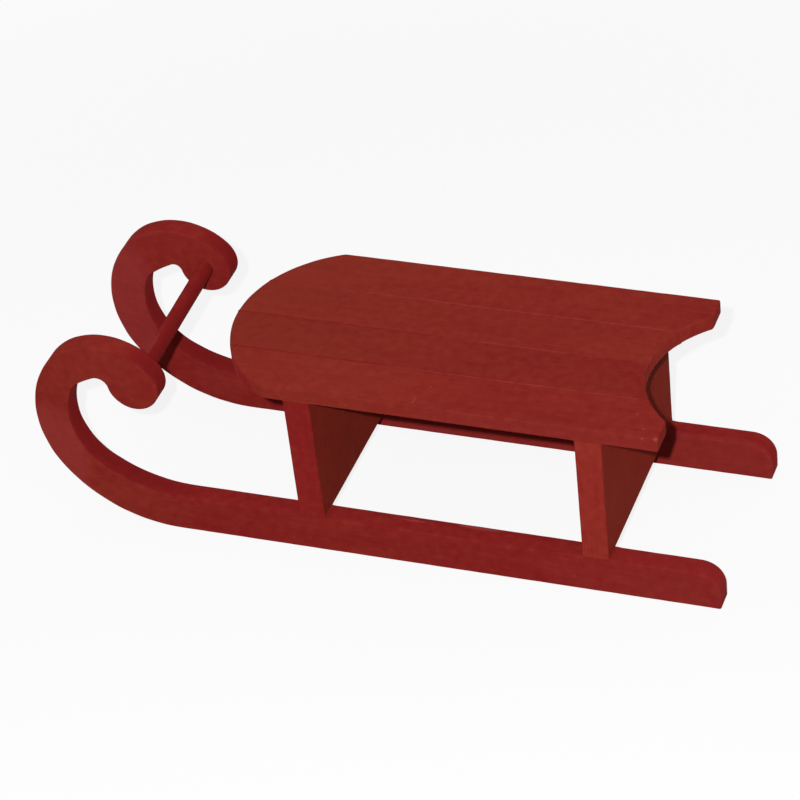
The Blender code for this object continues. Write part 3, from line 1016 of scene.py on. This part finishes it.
def uneven(line, size, seed, side=1):
    """A long side whose saw cut strays inwards by up to size, from the start of the curl to near its end."""
    along = distances(line)
    run_in = smooth_step(along, CURL_START, CURL_START + SAW_RUN_IN)
    run_out = smooth_step(along[-1] - along, *SAW_RUN_OUT)
    stray = size * run_in * run_out * (0.5 + 0.5 * waves(along, SAW_WAVES, seed))
    tangent = np.gradient(line, axis=0)
    inward = np.stack([-tangent[:, 1], tangent[:, 0]], axis=1) * side
    return line + inward / np.linalg.norm(inward, axis=1)[:, None] * stray[:, None]


def leg_footprint(places):
    """1 at distances along the sled where a leg stands, fading beside it."""
    covered = np.zeros(len(places))
    for place, (low, high) in LEG_BOXES.items():
        beside = np.abs(places + REAR_END - LEG_MIDDLES[place]) - (high.x - low.x) / 2
        covered = np.maximum(covered, 1 - smooth_step(beside, *LEG_SIDE_FADE))
    return covered


def runner_rounding(shape):
    """Eased edges all round, which stay sharp under the legs."""

    def rounding(outline):
        on_top = 1 - smooth_step(np.abs(outline[:, 1] - RUNNER_HEIGHT), *RUNNER_TOP_FADE)
        joint = on_top * leg_footprint(outline[:, 0])
        eased = eased_radius(shape, "runner", distances(outline))
        radius = eased * (1 - joint) + shape.joint_rounding * joint
        return radius, radius

    return rounding


def no_seams(outline):
    """No dirt and no chalky paint."""
    return np.zeros((2, len(outline)))


class SLED_OT_runners(Operator):
    """Makes both runners, with the screw holes in their soles."""

    bl_idname = "sled.runners"
    bl_label = "Runners"

    def execute(self, context):
        shape = context.scene.sled_shape
        for seed, (side, sign) in enumerate(SIDES.items(), start=PAINT_SEEDS["runner"]):
            paint = painted_wood(f"runner_paint_{side}", RUNNER_COATS[side], "X", seed, RUNNER_MARKS)
            piece = make_board(
                f"painted_runner_{side}",
                runner_plan(shape, CURLS[side]),
                RUNNER_THICKNESS,
                runner_rounding(shape),
                no_seams,
                ((1, 0, 0), (0, 0, 1), (0, -1, 0)),
                (REAR_END + RUNNER_STRAY[side], sign * RUNNER_MIDDLE, 0.0),
            )
            radii, heights = np.array(SCREW_HOLE).T
            for middle in LEG_MIDDLES.values():
                centre = (middle, sign * RUNNER_MIDDLE, 0.0)
                drill(piece, turned_piece("screw_hole", radii[:, None], heights, np.eye(3), centre))
            finish_piece(piece, paint, "runner_paint", f"{side}_runner")
        return {"FINISHED"}


# The legs


def leg_plan(shape, low, high):
    """An upright rectangle seen from the front end, with nearly sharp corners where it is glued."""
    bottom = low.z - JOINT_GAP
    top = high.z + JOINT_GAP
    cuts = (JOINT_CORNER_CUT * shape.joint_rounding,) * 2
    corners = np.array([[[across, height] for across in (-high.y, high.y)] for height in (bottom, top)])
    sides = [stations((line,), (LEG_STEPS,), cuts) for line in corners]
    return BoardPlan.rounded(*sides, corners[:, 0], corners[:, 1], cuts)


def leg_rounding(shape, low, high):
    """Eased upright edges that run out sharp at the glued ends."""

    def rounding(outline):
        from_end = np.minimum(outline[:, 1] - low.z, high.z - outline[:, 1])
        free = smooth_step(from_end, *LEG_END_FADE)
        radius = eased_radius(shape, "leg", outline[:, 1]) * free + shape.joint_rounding * (1 - free)
        return radius, radius

    return rounding


class SLED_OT_legs(Operator):
    """Makes both upright leg boards."""

    bl_idname = "sled.legs"
    bl_label = "Legs"

    def execute(self, context):
        shape = context.scene.sled_shape
        for seed, (place, (low, high)) in enumerate(LEG_BOXES.items(), start=PAINT_SEEDS["leg"]):
            paint = painted_wood(f"leg_paint_{place}", LEG_COATS[place], "Z", seed, LEG_MARKS)
            slope = LEG_LEAN[place] / (high.z - low.z)
            piece = make_board(
                f"painted_leg_{place}",
                leg_plan(shape, low, high),
                high.x - low.x,
                leg_rounding(shape, low, high),
                no_seams,
                ((0, 1, 0), (slope, 0, 1), (1, 0, 0)),
                (LEG_MIDDLES[place] - slope * low.z, 0.0, 0.0),
                brushed_across=True,
            )
            finish_piece(piece, paint, "leg_paint", f"{place}_leg_board")
        return {"FINISHED"}


# The seat


def seat_front_at(across):
    """How far ahead the bowed front end reaches: a circle's arc, and fuller towards the left corner."""
    bow = SEAT_FRONT - SEAT_FRONT_RADIUS + np.sqrt(SEAT_FRONT_RADIUS**2 - across**2)
    return bow + FULL_CORNER * smooth_step(across, FULL_CORNER_START, SEAT_HALF)


def seat_notch_at(across):
    """How far ahead the hollow in the rear end reaches: a circle's arc."""
    return SEAT_REAR + SEAT_NOTCH_DEPTH - SEAT_NOTCH_RADIUS + np.sqrt(SEAT_NOTCH_RADIUS**2 - across**2)


def plank_rear_row(low, high):
    """The rear end of a plank from right to left: the hollow's arc, and a straight prong beyond it.

    The arc meets the prongs at half its width, by Pythagoras from its radius and depth.
    """
    corner = math.sqrt(SEAT_NOTCH_RADIUS**2 - (SEAT_NOTCH_RADIUS - SEAT_NOTCH_DEPTH) ** 2)
    inner = np.linspace(max(low, -corner), min(high, corner), PLANK_STEPS)
    hollow = np.stack([seat_notch_at(inner), inner], axis=1)
    if high > corner:
        prong = np.array([[SEAT_REAR, corner], [SEAT_REAR, high]])
        return bent(hollow, prong[0], prong, SEAT_NOTCH_CORNER)
    if low < -corner:
        prong = np.array([[SEAT_REAR, low], [SEAT_REAR, -corner]])
        return bent(prong, prong[1], hollow, SEAT_NOTCH_CORNER)
    return hollow


def is_seam(side):
    """Whether this side of a plank meets another plank."""
    return abs(side) < SEAT_HALF


def plank_plan(shape, low, high):
    """A seat plank from above, x forward and y left, with crisp corners at its seams."""
    radii = [shape.seam_rounding if is_seam(side) else shape.edge_rounding for side in (low, high)]
    cuts = [CORNER_CUT * radius for radius in radii]
    across = np.linspace(low, high, PLANK_ROW_SAMPLES)
    front = np.stack([seat_front_at(across), across], axis=1)
    rear = plank_rear_row(low, high)
    sides = (np.array([rear[end], front[end]]) for end in (0, -1))
    right, left = (stations((side,), (PLANK_STEPS,), (cut, cut)) for side, cut in zip(sides, cuts))
    return BoardPlan.rounded(right, left, rear, front, cuts)


def beside_line(across, line, fade):
    """1 on a line along the seat, fading beside it."""
    return 1 - smooth_step(np.abs(across - line), *fade)


def plank_rounding(shape, low, high, number):
    """Eased outer edges, finely eased seams, and sharp lower edges where a leg is flush with the seat."""

    def rounding(outline):
        seam = np.zeros(len(outline))
        for side in filter(is_seam, (low, high)):
            seam = np.maximum(seam, beside_line(outline[:, 1], side, SEAM_EDGE_FADE))
        eased = eased_radius(shape, "plank", distances(outline), number)
        top = eased * (1 - seam) + shape.seam_rounding * seam
        over_leg = leg_footprint(outline[:, 0])
        bottom = top * (1 - over_leg) + shape.joint_rounding * over_leg
        return top, bottom

    return rounding


def plank_seams(number):
    """Dirt and chalky paint along a plank's seams: chalk lies on the left plank of two, and dirt on both."""

    def seams(outline):
        dirt, chalk = no_seams(outline)
        for line in (number - 1, number):
            if 0 <= line < len(SEAM_DIRT):
                on_line = beside_line(outline[:, 1], PLANK_SIDES[line + 1], SEAM_LINE_FADE)
                line_dirt = on_line * np.interp(outline[:, 0], *np.transpose(SEAM_DIRT[line]))
                line_chalk = on_line * np.interp(outline[:, 0], *np.transpose(SEAM_CHALK[line]))
                if line == number:
                    chalk = np.maximum(chalk, line_chalk)
                else:
                    dirt = np.maximum(dirt, FAR_SIDE_DIRT * line_chalk)
                dirt = np.maximum(dirt, line_dirt)
        return dirt, chalk

    return seams


class SLED_OT_seat(Operator):
    """Makes the four seat planks."""

    bl_idname = "sled.seat"
    bl_label = "Seat"

    def execute(self, context):
        shape = context.scene.sled_shape
        for number, plank in enumerate(SEAT_PLANKS):
            high, low = PLANK_SIDES[number : number + 2]
            piece = make_board(
                f"painted_plank_{plank}",
                plank_plan(shape, low, high),
                SEAT_THICKNESS,
                plank_rounding(shape, low, high, number),
                plank_seams(number),
                np.eye(3),
                (REAR_END, 0.0, SEAT_HIGH.z - SEAT_THICKNESS / 2),
            )
            seed = PAINT_SEEDS["plank"] + number
            paint = painted_wood(f"seat_paint_{plank}", SEAT_COATS[plank], "X", seed, SEAT_MARKS)
            finish_piece(piece, paint, "seat_paint", f"seat_plank_{plank}")
        return {"FINISHED"}


# The dowel and the beads of glue


class SLED_OT_dowel(Operator):
    """Makes the dowel, with a collar of paint where it enters each bulb."""

    bl_idname = "sled.dowel"
    bl_label = "Dowel"

    def execute(self, context):
        shape = context.scene.sled_shape
        half = (DOWEL_HIGH.y - DOWEL_LOW.y) / 2
        inner_face = FRAME_HALF - RUNNER_THICKNESS
        free = np.linspace(-inner_face, inner_face, DOWEL_ROWS)
        collars = np.linspace(0.0, COLLAR_ROWS_REACH, COLLAR_ROWS)[1:]
        heights = np.concatenate([[-half], -inner_face + collars, free, inner_face - collars, [half]])
        heights = np.unique(np.round(heights, DOWEL_DECIMALS))
        lift = near(inner_face - np.abs(heights), COLLAR_WIDTH) * (np.abs(heights) <= inner_face)
        swell = DOWEL_SWELL + COLLAR_LIFT * shape.joint_rounding * lift[:, None]
        across = np.cos(2 * circle(TURNED_SEGMENTS) + DOWEL_FLATS_TURN)
        flats = waves(heights, DOWEL_WAVES, DOWEL_SEED)[:, None] * across
        radii = DOWEL_RADIUS * (DOWEL_SANDED + DOWEL_FLATS * flats) + swell
        left, right = (DOWEL_STRAY[side] for side in SIDES)
        skew = (left - right) / (2 * RUNNER_MIDDLE)
        axes = np.array(((1, 0, 0), (0, 0, -1), (skew, 1, 0)))
        centre = DOWEL_CENTRE + Vector(((left + right) / 2, 0, 0))
        piece = turned_piece("painted_dowel", radii, heights, axes, centre)
        paint = painted_wood("dowel_paint", DOWEL_COAT, "Y", PAINT_SEEDS["dowel"], DOWEL_MARKS)
        finish_piece(piece, paint, "dowel_paint", "pull_dowel")
        return {"FINISHED"}


def bead_rings(centre, out, up, length, size, seed):
    """Rings of a bead of glue in an inside corner: a hollow quarter-round that tapers to both ends.

    It runs along the cross product of out and up. At share s along, its radius is r(s), and at angle a its
    skin lies r (1 - sin a) out and r (1 - cos a) up. Two more sides are sunk in the boards.
    """
    centre, out, up = (np.array(item, float) for item in (centre, out, up))
    share = np.linspace(0.0, 1.0, max(BEAD_ROWS_LEAST, math.ceil(length / BEAD_SPACING)))
    from_end = np.minimum(share, 1 - share) * length
    taper = np.clip(from_end / (2 * size), BEAD_TIP, 1.0) ** 0.5
    radius = size * taper * (1 + BEAD_WAVER * waves(share * length, BEAD_WAVES, seed))
    angles = np.linspace(0.0, math.pi / 2, BEAD_ROUND_POINTS)
    sunk = np.full((len(share), 1), -BEAD_SINK)
    skin_out = radius[:, None] * (1 - np.sin(angles))
    skin_up = radius[:, None] * (1 - np.cos(angles))
    outs = np.concatenate([sunk, skin_out[:, :1], skin_out, sunk], axis=1)
    ups = np.concatenate([sunk, sunk, skin_up, skin_up[:, -1:]], axis=1)
    path = centre + (share[:, None] - 0.5) * length * np.cross(out, up)
    return path[:, None] + outs[:, :, None] * out + ups[:, :, None] * up


class SLED_OT_glue(Operator):
    """Makes the painted-over beads of glue where the legs meet the runners and the seat."""

    bl_idname = "sled.glue"
    bl_label = "Glue beads"

    def execute(self, context):
        size = context.scene.sled_shape.glue_bead
        paint = painted_wood("glue_paint", GLUE_COAT, "Y", PAINT_SEEDS["glue"])
        foot_length = RUNNER_THICKNESS - 2 * FOOT_BEAD_MARGIN
        for place, (low, high) in LEG_BOXES.items():
            head_length = 2 * (high.y - HEAD_BEAD_MARGIN)
            for face, x, out in (("rear", low.x, -1), ("front", high.x, 1)):
                beads = [
                    (f"foot_{side}", (x, sign * RUNNER_MIDDLE, RUNNER_HEIGHT), 1, foot_length, size)
                    for side, sign in SIDES.items()
                ]
                beads.append(("head", (x + LEG_LEAN[place], 0.0, SEAT_LOW.z), -1, head_length, size / 2))
                for number, (name, centre, up, length, radius) in enumerate(beads):
                    seed = BEAD_SEEDS[place] + out + BEAD_SEED_STEP * number
                    rings = bead_rings(centre, (out, 0, 0), (0, 0, up), length, radius, seed)
                    piece = tube_piece(f"glue_bead_{place}_{face}_{name}", rings)
                    finish_piece(piece, paint, "leg_paint")
        return {"FINISHED"}


# The nails and screws


def dull_steel(name, colour, cloud_size):
    """Dull metal with clouds of this size in its tone and fine scratches in its polish."""
    finish = Finish(name)
    place = finish.place()
    clouds = finish.noise(place, (cloud_size,) * 3, seed=1, detail=3.0)
    scratches = finish.noise(place, SCRATCH_SIZES, seed=2)
    finish.surface(
        finish.scaled(colour, STEEL_TONE + STEEL_TONE_CLOUDS * clouds),
        roughness=STEEL_ROUGHNESS + STEEL_ROUGH_CLOUDS * clouds + STEEL_ROUGH_SCRATCHES * scratches,
        height=SCRATCH_HEIGHT * scratches,
        metallic=1.0,
        gloss=STEEL_GLOSS,
        matte=0.0,
    )
    return finish.material


class SLED_OT_fastenings(Operator):
    """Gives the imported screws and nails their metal."""

    bl_idname = "sled.fastenings"
    bl_label = "Screws and nails"

    def execute(self, context):
        paint = context.scene.sled_paint
        metals = {
            "leg_screw": dull_steel("screw_zinc", paint.zinc, SCREW_CLOUDS),
            "seat_nail": dull_steel("nail_steel", paint.steel, NAIL_CLOUDS),
        }
        for kind, metal in metals.items():
            for name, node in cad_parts.items():
                if name.startswith(kind):
                    node.material_slots[0].material = metal
        return {"FINISHED"}


# The studio


def direction(azimuth, elevation):
    """The unit vector towards a place: azimuth 0 is behind -Y and 90 is on +X, in degrees."""
    turn, rise = math.radians(azimuth), math.radians(elevation)
    return Vector((math.sin(turn) * math.cos(rise), -math.cos(turn) * math.cos(rise), math.sin(rise)))


def facing(back):
    """The turn of a lamp or camera that looks along -back, upright."""
    return (-back).to_track_quat("-Z", "Y").to_matrix()


def seen(finish):
    """1 for what the camera sees, straight, in a shine or through glass, and 0 for light on things."""
    paths = ("Is Camera Ray", "Is Glossy Ray", "Is Transmission Ray")
    straight, shine, through = (finish.add("ShaderNodeLightPath", output=path) for path in paths)
    return straight.most(shine).most(through)


def make_floor(studio):
    """A round floor, r (cos a, sin a), which is lit near the sled and fades to white far away."""
    angles = circle(FLOOR_SEGMENTS)
    around = np.stack([np.cos(angles), np.sin(angles), 0 * angles], axis=1)
    points = (np.reshape(FLOOR_RINGS, (-1, 1, 1)) * around).reshape(-1, 3)
    faces = ring_faces(len(FLOOR_RINGS), FLOOR_SEGMENTS).tolist()
    faces += fan_faces(np.arange(FLOOR_SEGMENTS), tip=len(points))
    points = np.concatenate([points, np.zeros((1, 3))]) - (0.0, 0.0, FLOOR_DROP)
    floor = make_piece("studio_floor", points, faces)
    finish = Finish("floor_white")
    shown, plain = (
        finish.add("ShaderNodeBsdfDiffuse", sockets={"Color": (grey, grey, grey, 1.0)})
        for grey in (FLOOR_WHITE, studio.floor_grey)
    )
    glow = finish.add("ShaderNodeEmission", sockets={"Strength": 1.0})
    fading = FLOOR_GLOW + (1 - FLOOR_GLOW) * finish.distance(finish.place()).between(*FLOOR_FADE)
    white = finish.add("ShaderNodeMixShader", sockets={0: fading, 1: shown, 2: glow})
    whole = finish.add("ShaderNodeMixShader", sockets={0: seen(finish), 1: plain, 2: white})
    finish.add("ShaderNodeOutputMaterial", sockets={"Surface": whole}, output=None)
    floor.data.materials.append(finish.material)


def make_room(studio):
    """A white room that lights the sled more softly than it looks."""
    world = bpy.data.worlds.new("studio_room")
    world.use_nodes = True
    finish = Finish("studio_room", tree=world.node_tree)
    soft, white = (
        finish.add("ShaderNodeBackground", sockets={"Color": (1.0, 1.0, 1.0, 1.0), "Strength": strength})
        for strength in (studio.room_level, 1.0)
    )
    both = finish.add("ShaderNodeMixShader", sockets={0: seen(finish), 1: soft, 2: white})
    finish.add("ShaderNodeOutputWorld", sockets={"Surface": both}, output=None)
    bpy.context.scene.world = world


def make_lamp(name, azimuth, elevation, distance, size, level):
    """A round lamp that lights a board facing it at the sled to this level, where 1 is white."""
    data = bpy.data.lights.new(name, "AREA")
    data.shape = "DISK"
    data.size = size
    data.energy = level * (math.pi * distance) ** 2
    lamp = bpy.data.objects.new(name, data)
    back = direction(azimuth, elevation)
    lamp.location = Vector(AIM) + back * distance
    lamp.rotation_euler = facing(back).to_euler()
    lamp.visible_camera = False
    bpy.context.scene.collection.objects.link(lamp)


def make_camera():
    """The photograph's camera, a long lens that leans a little to its right."""
    data = bpy.data.cameras.new("camera")
    data.lens = CAMERA_LENS
    data.clip_end = CAMERA_REACH
    camera = bpy.data.objects.new("camera", data)
    back = direction(CAMERA_AZIMUTH, CAMERA_ELEVATION)
    camera.location = Vector(AIM) + back * CAMERA_DISTANCE
    camera.rotation_euler = (facing(back) @ Matrix.Rotation(math.radians(CAMERA_ROLL), 3, "Z")).to_euler()
    bpy.context.scene.collection.objects.link(camera)
    bpy.context.scene.camera = camera


class SLED_OT_studio(Operator):
    """Sets up the floor, the room, the lamp and the camera."""

    bl_idname = "sled.studio"
    bl_label = "Studio"

    def execute(self, context):
        studio = context.scene.sled_studio
        make_floor(studio)
        make_room(studio)
        make_lamp("key_lamp", *KEY_PLACE, studio.key_level)
        make_camera()
        context.scene.view_settings.view_transform = "Standard"
        return {"FINISHED"}


class SLED_PT_panel(Panel):
    """Lists the sled's sizes, colours and light, and the steps that make it."""

    bl_idname = "SLED_PT_panel"
    bl_label = "Sled"
    bl_space_type = "VIEW_3D"
    bl_region_type = "UI"
    bl_category = "Sled"

    def draw(self, context):
        for group in (context.scene.sled_shape, context.scene.sled_paint, context.scene.sled_studio):
            box = self.layout.box()
            for name in group.bl_rna.properties.keys():
                if name not in ("rna_type", "name"):
                    box.prop(group, name)
        for step in STEPS:
            self.layout.operator(step.bl_idname)


STEPS = (
    SLED_OT_runners,
    SLED_OT_legs,
    SLED_OT_seat,
    SLED_OT_dowel,
    SLED_OT_glue,
    SLED_OT_fastenings,
    SLED_OT_studio,
)
GROUPS = {"sled_shape": SledShape, "sled_paint": SledPaint, "sled_studio": SledStudio}


def register():
    for item in (*GROUPS.values(), *STEPS, SLED_PT_panel):
        bpy.utils.register_class(item)
    for name, group in GROUPS.items():
        setattr(bpy.types.Scene, name, PointerProperty(type=group))


def unregister():
    for name in GROUPS:
        delattr(bpy.types.Scene, name)
    for item in (SLED_PT_panel, *reversed(STEPS), *GROUPS.values()):
        bpy.utils.unregister_class(item)


def main():
    register()
    for step in STEPS:
        area, name = step.bl_idname.split(".")
        getattr(getattr(bpy.ops, area), name)()


if __name__ == "__main__":
    main()
